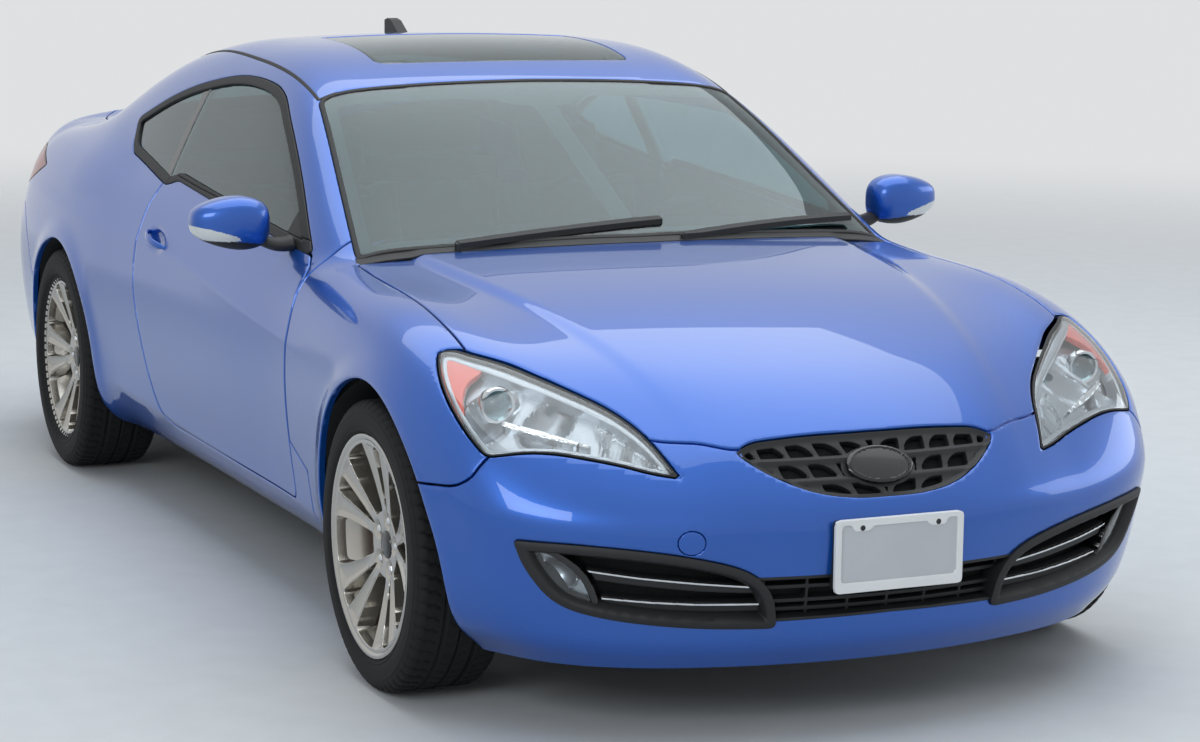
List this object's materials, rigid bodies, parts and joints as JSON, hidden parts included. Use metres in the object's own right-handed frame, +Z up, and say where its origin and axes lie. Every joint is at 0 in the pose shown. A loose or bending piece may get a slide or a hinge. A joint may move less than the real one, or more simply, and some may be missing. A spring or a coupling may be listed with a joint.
{
  "type": "coupe car",
  "caption": "two-door coupe car with hinged doors, hood and trunk lid, turning wheels and steered front wheels, built as separate body panels",
  "frame": {"origin": "on the ground under the car's middle, halfway along its length", "axes": "+X points forward, +Y to the car's left, +Z up"},
  "size_m": [4.63, 2.116, 1.408],
  "materials": {
    "body_paint": "metallic mid blue under clear coat",
    "body_plastic": "bumper skins painted metallic mid blue",
    "underbody": "dark underbody coating",
    "window_glass": "tinted safety glass",
    "lamp_lens": "clear polycarbonate lens over a grey reflector",
    "tail_lens": "red lens",
    "black_trim": "grained black plastic",
    "plate": "blank plate in a pale frame",
    "tyre": "black rubber",
    "wheel": "silver lacquered cast alloy",
    "caliper": "red lacquer on cast iron",
    "iron": "bare and black coated iron",
    "engine": "cast alloy",
    "steel_pipe": "stainless steel",
    "seat": "dark grey seat cover",
    "cabin_plastic": "soft dark plastic"
  },
  "bodies": {
    "car_body": {"floor_pan": "underbody", "body_side_left": "body_paint", "body_side_right": "body_paint", "roof_panel": "body_paint", "sunroof_glass": "window_glass", "cowl_firewall": "underbody", "undertray": "black_trim", "rear_bulkhead": "underbody", "front_fenders": "body_paint", "front_bumper": "body_plastic", "rear_bumper": "body_plastic", "windshield": "window_glass", "rear_window": "window_glass", "quarter_windows": "window_glass", "headlamps": "lamp_lens", "tail_lamps": "tail_lens", "fog_lamps": "lamp_lens", "upper_grille": "black_trim", "lower_grilles": "black_trim", "number_plates": "plate", "wipers": "black_trim", "antenna": "body_plastic", "engine_block": "engine", "radiator": "engine", "front_suspension": "iron", "rear_suspension": "iron", "brake_calipers_rear": "caliper", "exhaust": "steel_pipe", "front_seats": "seat", "rear_seat": "seat", "dashboard": "cabin_plastic", "steering_wheel": "cabin_plastic"},
    "hood": {"hood": "body_paint"},
    "trunk_lid": {"trunk_lid": "body_paint"},
    "door_left": {"door_left": "body_paint", "door_glass_left": "window_glass", "mirror_left": "body_plastic"},
    "door_right": {"door_right": "body_paint", "door_glass_right": "window_glass", "mirror_right": "body_plastic"},
    "steering_knuckle_left": {"knuckle_left": "iron", "brake_caliper_front_left": "caliper"},
    "steering_knuckle_right": {"knuckle_right": "iron", "brake_caliper_front_right": "caliper"},
    "wheel_front_left": {"tyre_front_left": "tyre", "wheel_front_left": "wheel"},
    "wheel_front_right": {"tyre_front_right": "tyre", "wheel_front_right": "wheel"},
    "wheel_rear_left": {"tyre_rear_left": "tyre", "wheel_rear_left": "wheel"},
    "wheel_rear_right": {"tyre_rear_right": "tyre", "wheel_rear_right": "wheel"}
  },
  "joints": [
    {"name": "hood_hinge", "type": "hinge", "parent": "car_body", "child": "hood", "pos_m": [0.948, 0, 0.916], "axis": [0, -1, 0], "range_deg": [0, 45]},
    {"name": "trunk_lid_hinge", "type": "hinge", "parent": "car_body", "child": "trunk_lid", "pos_m": [-1.628, 0, 1.052], "axis": [0, 1, 0], "range_deg": [0, 70]},
    {"name": "door_left_hinge", "type": "hinge", "parent": "car_body", "child": "door_left", "pos_m": [0.755, 0.85, 0.58], "axis": [0, 0, -1], "range_deg": [0, 65]},
    {"name": "door_right_hinge", "type": "hinge", "parent": "car_body", "child": "door_right", "pos_m": [0.755, -0.85, 0.58], "axis": [0, 0, 1], "range_deg": [0, 65]},
    {"name": "steer_left", "type": "hinge", "parent": "car_body", "child": "steering_knuckle_left", "pos_m": [1.51, 0.745, 0.331], "axis": [0, 0, 1], "range_deg": [-35, 35]},
    {"name": "steer_right", "type": "hinge", "parent": "car_body", "child": "steering_knuckle_right", "pos_m": [1.51, -0.745, 0.331], "axis": [0, 0, 1], "range_deg": [-35, 35]},
    {"name": "wheel_front_left_spin", "type": "hinge", "parent": "steering_knuckle_left", "child": "wheel_front_left", "pos_m": [1.51, 0.8015, 0.331], "axis": [0, 1, 0], "continuous": true},
    {"name": "wheel_front_right_spin", "type": "hinge", "parent": "steering_knuckle_right", "child": "wheel_front_right", "pos_m": [1.51, -0.8015, 0.331], "axis": [0, 1, 0], "continuous": true},
    {"name": "wheel_rear_left_spin", "type": "hinge", "parent": "car_body", "child": "wheel_rear_left", "pos_m": [-1.31, 0.809, 0.339], "axis": [0, 1, 0], "continuous": true},
    {"name": "wheel_rear_right_spin", "type": "hinge", "parent": "car_body", "child": "wheel_rear_right", "pos_m": [-1.31, -0.809, 0.339], "axis": [0, 1, 0], "continuous": true}
  ],
  "couplings": [
    {"joint": "steer_right", "follows": "steer_left", "ratio": 1}
  ]
}
